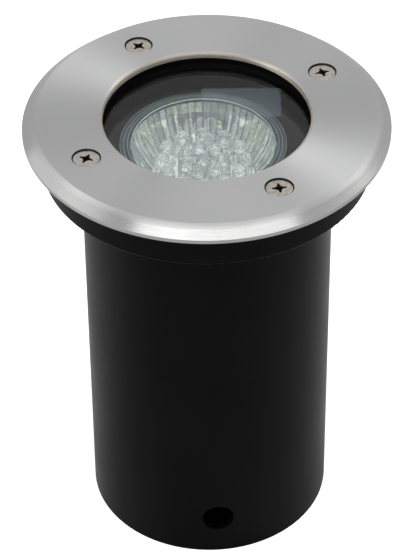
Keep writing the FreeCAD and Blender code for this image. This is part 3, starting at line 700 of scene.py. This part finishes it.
def addScrews():
    top = screwShape["topHeight"]
    radius = screwShape["headRadius"]
    shank = screwShape["shankRadius"]
    outline = stepped(screwShape["tipSteps"], shank, top - screwShape["length"])
    outline.append((shank, top - screwShape["headDepth"]))
    outline += stepped(screwShape["edgeSteps"], radius, top)
    outline.append((radius - screwShape["edgeLand"], top))
    for inward, upward in screwShape["crownSteps"]:
        outline.append((radius * inward, top + screwShape["crown"] * upward))
    screw = turnedPiece("screwHead", screwShape["sides"], outline)
    deselectAll()
    tool = recessTool()
    applyModifier(screw, "BOOLEAN", operation="DIFFERENCE", object=tool, solver="EXACT")
    bpy.data.objects.remove(tool)
    smoothByAngle(screw, screwShape["smoothAngle"])
    steel = plainMetal("screwSteel", screwShape["colour"], screwShape["rough"],
                       screwShape["grain"])
    # Painted shade: a near-black steel for the faces inside each recess.
    shade = plainMetal("recessPaintedShade", screwShape["recessShadeColour"], screwShape["recessRough"])
    turns = screwShape["turns"]
    for index, turn in enumerate(turns):
        angle = screwShape["firstAngle"] + 360 / len(turns) * index
        across, back = polarSpot(screwShape["circleRadius"], angle)
        twin = copiedTo(screw, f"ringScrew_{index + 1}", (across, back, 0), turn)
        finishPiece(twin, "lamp_unit", "screw_steel", steel, "ring_screws")
        shadeRecess(twin, across, back, shade)
    bpy.data.objects.remove(screw)


addScrews()
print("ring screws")


# The pressed lamp reflector: plain glass outside, narrow silvered flutes inside, a stepped rim.
reflectorShape = {
    "middle": -1.1,
    "flutes": 56,
    "fluteDepth": 0.34,
    "fluteKinds": 4,           # how many depths there are
    "unevenness": 0.22,
    "seed": 7,
    "rimTop": 134.0,
    "rimRadius": 25.2,
    "mouthRadius": 21.9,
    "seatHeight": 132.8,
    "neck": [(11.5, 107.0), (11.5, 110.0), (18.7, 119.4), (22.6, 125.0), (24.4, 129.0),
             (25.2, 131.0)],
    # The next three are steps from the rim's radius and top, from the mouth's radius and the
    # rim's top, and from the mouth's radius and the seat of the cover glass.
    "rimSteps": [(0.0, -0.35), (-0.12, -0.1), (-0.4, 0.0), (-1.0, 0.0), (-1.15, -0.22),
                 (-1.75, -0.22), (-1.9, 0.0)],
    "mouthSteps": [(0.55, 0.0), (0.2, -0.08), (0.1, -0.3)],
    "seatSteps": [(0.1, 0.0), (-0.25, -0.02)],
    "wall": [(20.9, 129.6), (19.7, 126.6), (18.0, 123.6), (16.0, 121.0)],
    "wallRadius": 19.0,        # at the middle of its height
    "boardSeat": (15.8, 119.4),
    "neckHollow": (10.1, 107.0),
    "smoothAngle": 8,
    "pickSlack": 0.05,         # tolerance where a vertex or face is picked by its radius
}

# The bead where the cover glass meets the rim, from the mouth's radius and the rim's top.
beadShape = {
    "sides": 96,
    "steps": [(-0.62, -0.02), (-0.1, -0.02), (-0.02, 0.1), (-0.18, 0.22), (-0.45, 0.22),
              (-0.6, 0.1), (-0.61, 0.0)],
    "smoothAngle": 50,
    "colour": (0.42, 0.52, 0.51, 1),
    "rough": (0.12, 0.2),
}

fluteLook = {
    "silver": (0.95, 0.985, 0.975, 1),
    "silverShaded": (0.34, 0.39, 0.38, 1),
    "warmSilver": (0.86, 0.90, 0.74, 1),
    "metallic": 0.86,
    "ridgeLight": (0.08, 0.35),     # shares of half a flute: painted shade to the first, painted highlight from the second
    "shadeChance": (0.0, 0.75),
    "shadeRange": (0.5, 1.0),   # painted reflection: chance paints some flutes darker than others
    "warmScale": 110.0,
    "warmLevels": (0.52, 0.62),
    "warmShare": (0.0, 0.6),
    "roughScale": 300.0,
    "rough": (0.05, 0.12),
}

rimLook = {
    "glass": (0.020, 0.030, 0.032, 1),
    "glassPale": (0.030, 0.043, 0.045, 1),
    "ringPale": (0.15, 0.19, 0.195, 1),
    "ringDensity": 5600.0,     # radians of the wave per metre of radius
    "ringLevels": (0.55, 1.0),
    "ringShare": (0.0, 0.8),
    "cloudScale": 150.0,
    "rough": (0.1, 0.2),
    "level": 0.2,
    "bumpStrength": 0.2,
    "bumpDepth": 0.00008,
}


def silveredFlutes():
    look = Shading("silveredFlutes")
    place = look.place()
    x, y = look.split(place)[:2]
    fromMiddle = look.math("SUBTRACT", x, reflectorShape["middle"] * mm)
    around = look.math("ARCTAN2", y, fromMiddle)
    halves = look.math("MULTIPLY", around, reflectorShape["flutes"] / math.pi)
    # Painted light: each flute is painted bright in its middle and dark where it meets the next,
    # and chance darkens whole flutes, for the light the flutes reflect.
    ridgeLight = look.span(look.math("PINGPONG", halves, 1.0), *fluteLook["ridgeLight"])
    chance = look.node("TexWhiteNoise", noise_dimensions="1D")
    look.feed(chance.inputs["W"], look.math("FLOOR", look.math("MULTIPLY", halves, 0.5)))
    level = look.span(chance.outputs["Value"], *fluteLook["shadeChance"], *fluteLook["shadeRange"])
    tone = look.math("MULTIPLY", ridgeLight, level)
    shade = look.mix(tone, fluteLook["silverShaded"], fluteLook["silver"])
    warmth = look.noise(place, fluteLook["warmScale"])
    warm = look.span(warmth, *fluteLook["warmLevels"], *fluteLook["warmShare"])
    look.colour(look.mix(warm, shade, fluteLook["warmSilver"]))
    cloud = look.noise(place, fluteLook["roughScale"])
    look.roughness(look.span(cloud, *cloudLevels, *fluteLook["rough"]))
    look.set(Metallic=fluteLook["metallic"])
    return look.material


def rimGlass():
    # Pressed glass seen from its edge, with fine rings near the mouth.
    look = Shading("rimGlass")
    place = look.place()
    x, y = look.split(place)[:2]
    fromMiddle = look.math("SUBTRACT", x, reflectorShape["middle"] * mm)
    radius = look.length(look.join(fromMiddle, y, 0.0))
    rings = look.math("SINE", look.math("MULTIPLY", radius, rimLook["ringDensity"]))
    cloud = look.noise(place, rimLook["cloudScale"])
    shade = look.mix(look.span(cloud, *cloudLevels), rimLook["glass"], rimLook["glassPale"])
    pale = look.span(rings, *rimLook["ringLevels"], *rimLook["ringShare"])
    look.colour(look.mix(pale, shade, rimLook["ringPale"]))
    look.roughness(look.span(cloud, *cloudLevels, *rimLook["rough"]))
    look.set(Specular_IOR_Level=rimLook["level"])
    look.bump(rings, rimLook["bumpStrength"], rimLook["bumpDepth"])
    return look.material


def pushFlutesOut(shell, sides, middle):
    # Chance sorts every second line of the wall, and each sort goes out by its own depth.
    chance = random.Random(reflectorShape["seed"])
    kinds = reflectorShape["fluteKinds"]
    groups = {kind: {number for number in range(1, sides, 2) if chance.randrange(kinds) == kind}
              for kind in range(kinds)}
    slack = reflectorShape["pickSlack"]
    hair = 0.00001
    wallTop = reflectorShape["wall"][0][1] * mm + hair
    wallLow = reflectorShape["wall"][-1][1] * mm - hair
    step = 2 * math.pi / sides
    wallRadii = {round(height, 3): radius for radius, height in reflectorShape["wall"]}

    def onWall(spot):
        if not wallLow < spot.z < wallTop:
            return False
        radius = wallRadii.get(round(spot.z / mm, 3))
        return radius is not None and abs((spot - middle).xy.length / mm - radius) < slack

    def lineNumber(spot):
        angle = math.atan2(spot.y, spot.x - middle.x) % (2 * math.pi)
        return round(angle / step) % sides

    makeActive(shell)
    bpy.ops.object.mode_set(mode="EDIT")
    middleKind = (kinds - 1) / 2
    for kind, numbers in groups.items():
        chosen(shell, "VERT",
               lambda vertex: onWall(vertex.co) and lineNumber(vertex.co) in numbers)
        extra = reflectorShape["unevenness"] * (kind - middleKind) / middleKind
        share = 1 + (reflectorShape["fluteDepth"] + extra) / reflectorShape["wallRadius"]
        bpy.ops.transform.resize(value=(share, share, 1), center_override=middle)
    closeEdit()


def silverInside(shell, middle):
    shell.data.materials.append(silveredFlutes())
    lowest = reflectorShape["boardSeat"][1] * mm
    highest = reflectorShape["seatHeight"] * mm
    widest = (reflectorShape["mouthRadius"] + reflectorShape["pickSlack"]) * mm
    for face in shell.data.polygons:
        spot = face.center - middle
        inside = lowest < spot.z < highest and spot.xy.length < widest
        if inside and face.normal.xy.dot(spot.xy) < 0:
            face.material_index = 1


def addReflector():
    rim = reflectorShape["rimTop"]
    mouth = reflectorShape["mouthRadius"]
    outline = reflectorShape["neck"] + stepped(reflectorShape["rimSteps"],
                                               reflectorShape["rimRadius"], rim)
    outline += stepped(reflectorShape["mouthSteps"], mouth, rim)
    outline += stepped(reflectorShape["seatSteps"], mouth, reflectorShape["seatHeight"])
    outline += reflectorShape["wall"]
    outline += [reflectorShape["boardSeat"], reflectorShape["neckHollow"]]
    sides = reflectorShape["flutes"] * 2
    middle = Vector((reflectorShape["middle"] * mm, 0, 0))
    shell = turnedPiece("lampShell", sides, outline, reflectorShape["middle"])
    openMiddle(shell)      # the hollow goes on down through the neck
    pushFlutesOut(shell, sides, middle)
    smoothByAngle(shell, reflectorShape["smoothAngle"])
    finishPiece(shell, "lamp", "reflector_glass", rimGlass(), "lamp_reflector")
    silverInside(shell, middle)

    beadOutline = stepped(beadShape["steps"], mouth, rim)
    bead = turnedPiece("coverBead", beadShape["sides"], beadOutline, reflectorShape["middle"])
    openMiddle(bead)
    smoothByAngle(bead, beadShape["smoothAngle"])
    beadGlass = plainMetal("beadGlass", beadShape["colour"], beadShape["rough"])
    finishPiece(bead, "lamp", "cover_glass", beadGlass)


addReflector()
print("reflector")


# Clear 5 mm diodes: a flanged lens, and inside it two legs, one with an anvil and a small cup.
diodeShape = {
    "foot": 121.02,
    "circles": [(0.0, 1, 0), (5.9, 7, 0), (12.5, 12, 0)],   # radius, how many, first angle
    "leaning": 12,             # degrees by which chance turns a diode off the square
    "lensSides": 28,
    "flangeRadius": 2.5,
    "flangeHeight": 0.9,
    "flangeRound": 0.1,
    "flangeEdge": 0.08,
    "shoulder": 0.02,          # rise from the flange's top edge to the lens
    "lensRadius": 2.36,
    "domeFoot": 6.1,
    "domeAngles": (12, 24, 36, 48, 60, 70, 79, 86),
    "smoothAngle": 30,
    "legWidth": 0.5,
    "legFoot": 0.12,
    "headFlare": 0.4,          # share of a leg's head in which it widens
    "headThickness": 1.3,      # against the leg's
    "anvil": (0.35, -0.1, 1.5, 1.6),    # across, top from the cup's foot, head width and height
    "post": (-1.35, 0.5, 0.75, 1.0),
    "cupHeight": 4.5,
    "cupAcross": 0.2,
    "cupSides": 14,
    "cup": [(0.5, -0.2), (0.55, 0.0), (0.85, 0.6), (0.74, 0.6), (0.42, 0.2)],
    "globSides": 10,
    "glob": [(0.3, 0.21), (0.42, 0.28), (0.38, 0.4), (0.18, 0.46)],
    "resin": (0.99, 1.0, 1.0, 1),
    "resinIndex": 1.5,
    "resinPassing": 0.96,
    "resinRipple": 1.0,
    "legs": (0.93, 0.95, 0.94, 1),
    "legsRough": (0.12, 0.22),
    "phosphor": (0.62, 0.64, 0.42, 1),
    "phosphorRough": (0.3, 0.4),
}


def diodeLens():
    lens = diodeShape["lensRadius"]
    flange = diodeShape["flangeRadius"]
    foot = diodeShape["foot"]
    flangeTop = foot + diodeShape["flangeHeight"]
    dome = foot + diodeShape["domeFoot"]
    soft = diodeShape["flangeRound"]
    outline = [
        (flange - soft, foot),
        (flange, foot + soft),
        (flange, flangeTop - soft),
        (flange - diodeShape["flangeEdge"], flangeTop),
        (lens, flangeTop + diodeShape["shoulder"]),
        (lens, dome),
    ]
    for degrees in diodeShape["domeAngles"]:
        outward, upward = polarSpot(lens, degrees)
        outline.append((outward, dome + upward))
    piece = turnedPiece("diodeLens", diodeShape["lensSides"], outline)
    smoothByAngle(piece, diodeShape["smoothAngle"])
    return piece


def diodeLeg(name, across, top, headWidth, headHeight):
    # A square leg, widened at its top into the head that the cup or the bond sits on.
    foot = diodeShape["foot"] + diodeShape["legFoot"]
    width = diodeShape["legWidth"] * mm
    deselectAll()
    bpy.ops.mesh.primitive_cube_add(size=width)
    leg = bpy.context.object
    leg.name = name
    bpy.ops.object.mode_set(mode="EDIT")
    bpy.ops.mesh.select_all(action="SELECT")
    half = foot * mm + width / 2
    bpy.ops.transform.translate(value=(across * mm, 0, half))
    chosen(leg, "VERT", lambda vertex: vertex.co.z > half)
    rise = (diodeShape["cupHeight"] + top - headHeight) * mm - width
    bpy.ops.transform.translate(value=(0, 0, rise))
    flare = diodeShape["headFlare"]
    grow = (headWidth / diodeShape["legWidth"], diodeShape["headThickness"], 1)
    widening = {"value": (0, 0, headHeight * flare * mm)}
    bpy.ops.mesh.extrude_region_move(TRANSFORM_OT_translate=widening)
    bpy.ops.transform.resize(value=grow, center_override=(across * mm, 0, 0))
    rest = {"value": (0, 0, headHeight * (1 - flare) * mm)}
    bpy.ops.mesh.extrude_region_move(TRANSFORM_OT_translate=rest)
    closeEdit()
    return leg


def diodeCupPart(name, sides, steps):
    base = diodeShape["foot"] + diodeShape["cupHeight"]
    return turnedPiece(name, sides, stepped(steps, 0.0, base), diodeShape["cupAcross"])


def diodeFrame():
    wide = diodeLeg("diodeAnvil", *diodeShape["anvil"])
    narrow = diodeLeg("diodePost", *diodeShape["post"])
    cup = diodeCupPart("diodeCup", diodeShape["cupSides"], diodeShape["cup"])
    frameParts = joined("diodeFrame", [wide, narrow, cup])
    smoothByAngle(frameParts, diodeShape["smoothAngle"])
    return frameParts


def addDiodes():
    lens, legs = diodeLens(), diodeFrame()
    glob = diodeCupPart("diodeGlob", diodeShape["globSides"], diodeShape["glob"])
    resin = clearPiece("clearResin", diodeShape["resin"], diodeShape["resinIndex"],
                       diodeShape["resinPassing"], diodeShape["resinRipple"])
    metal = plainMetal("diodeLegs", diodeShape["legs"], diodeShape["legsRough"])
    glow = mouldedPiece("phosphorGlob", diodeShape["phosphor"], diodeShape["phosphorRough"])
    chance = random.Random(reflectorShape["seed"])
    leaning = diodeShape["leaning"]
    number = 0
    for radius, count, first in diodeShape["circles"]:
        for index in range(count):
            number += 1
            across, back = polarSpot(radius, first + 360 * index / count)
            spot = (reflectorShape["middle"] + across, back, 0)
            turn = chance.choice((0, 90, 180, 270)) + chance.uniform(-leaning, leaning)
            lensTwin = copiedTo(lens, f"diodeLens_{number}", spot)
            finishPiece(lensTwin, "lamp", "clear_resin", resin, "leds")
            legsTwin = copiedTo(legs, f"diodeFrame_{number}", spot, turn)
            finishPiece(legsTwin, "lamp", "nickel_pin", metal)
            globTwin = copiedTo(glob, f"diodeGlob_{number}", spot, turn)
            finishPiece(globTwin, "lamp", "clear_resin", glow)
    for original in (lens, legs, glob):
        bpy.data.objects.remove(original)


addDiodes()
print("diodes")


# A blank clear film lies on the glass at the back right.
filmShape = {
    "nearLeft": (-1.5, 4.2),
    "farRight": (22.4, 18.5),
    "cornerRadius": 0.5,
    "cornerSteps": 3,
    "height": 142.53,
    "thickness": 0.08,
    "colour": (0.42, 0.54, 0.62, 1),
    "cover": 0.06,
    "rough": 0.3,
}


def addFilm():
    deselectAll()
    left, right = filmShape["nearLeft"], filmShape["farRight"]
    width, depth = right[0] - left[0], right[1] - left[1]
    middle = ((left[0] + right[0]) / 2 * mm, (left[1] + right[1]) / 2 * mm,
              filmShape["height"] * mm)
    bpy.ops.mesh.primitive_plane_add(size=1)
    film = bpy.context.object
    film.name = "blankFilm"
    bpy.ops.object.mode_set(mode="EDIT")
    bpy.ops.mesh.select_all(action="SELECT")
    bpy.ops.transform.resize(value=(width * mm, depth * mm, 1))
    bpy.ops.transform.translate(value=middle)
    bpy.ops.mesh.bevel(offset=filmShape["cornerRadius"] * mm, segments=filmShape["cornerSteps"],
                       affect="VERTICES")
    bpy.ops.object.mode_set(mode="OBJECT")
    applyModifier(film, "SOLIDIFY", thickness=filmShape["thickness"] * mm, offset=1.0)
    sheet = thinSheet("clearFilm", filmShape["colour"], filmShape["cover"],
                      rough=filmShape["rough"])
    finishPiece(film, "lamp_unit", "front_glass", sheet)


addFilm()
print("film")
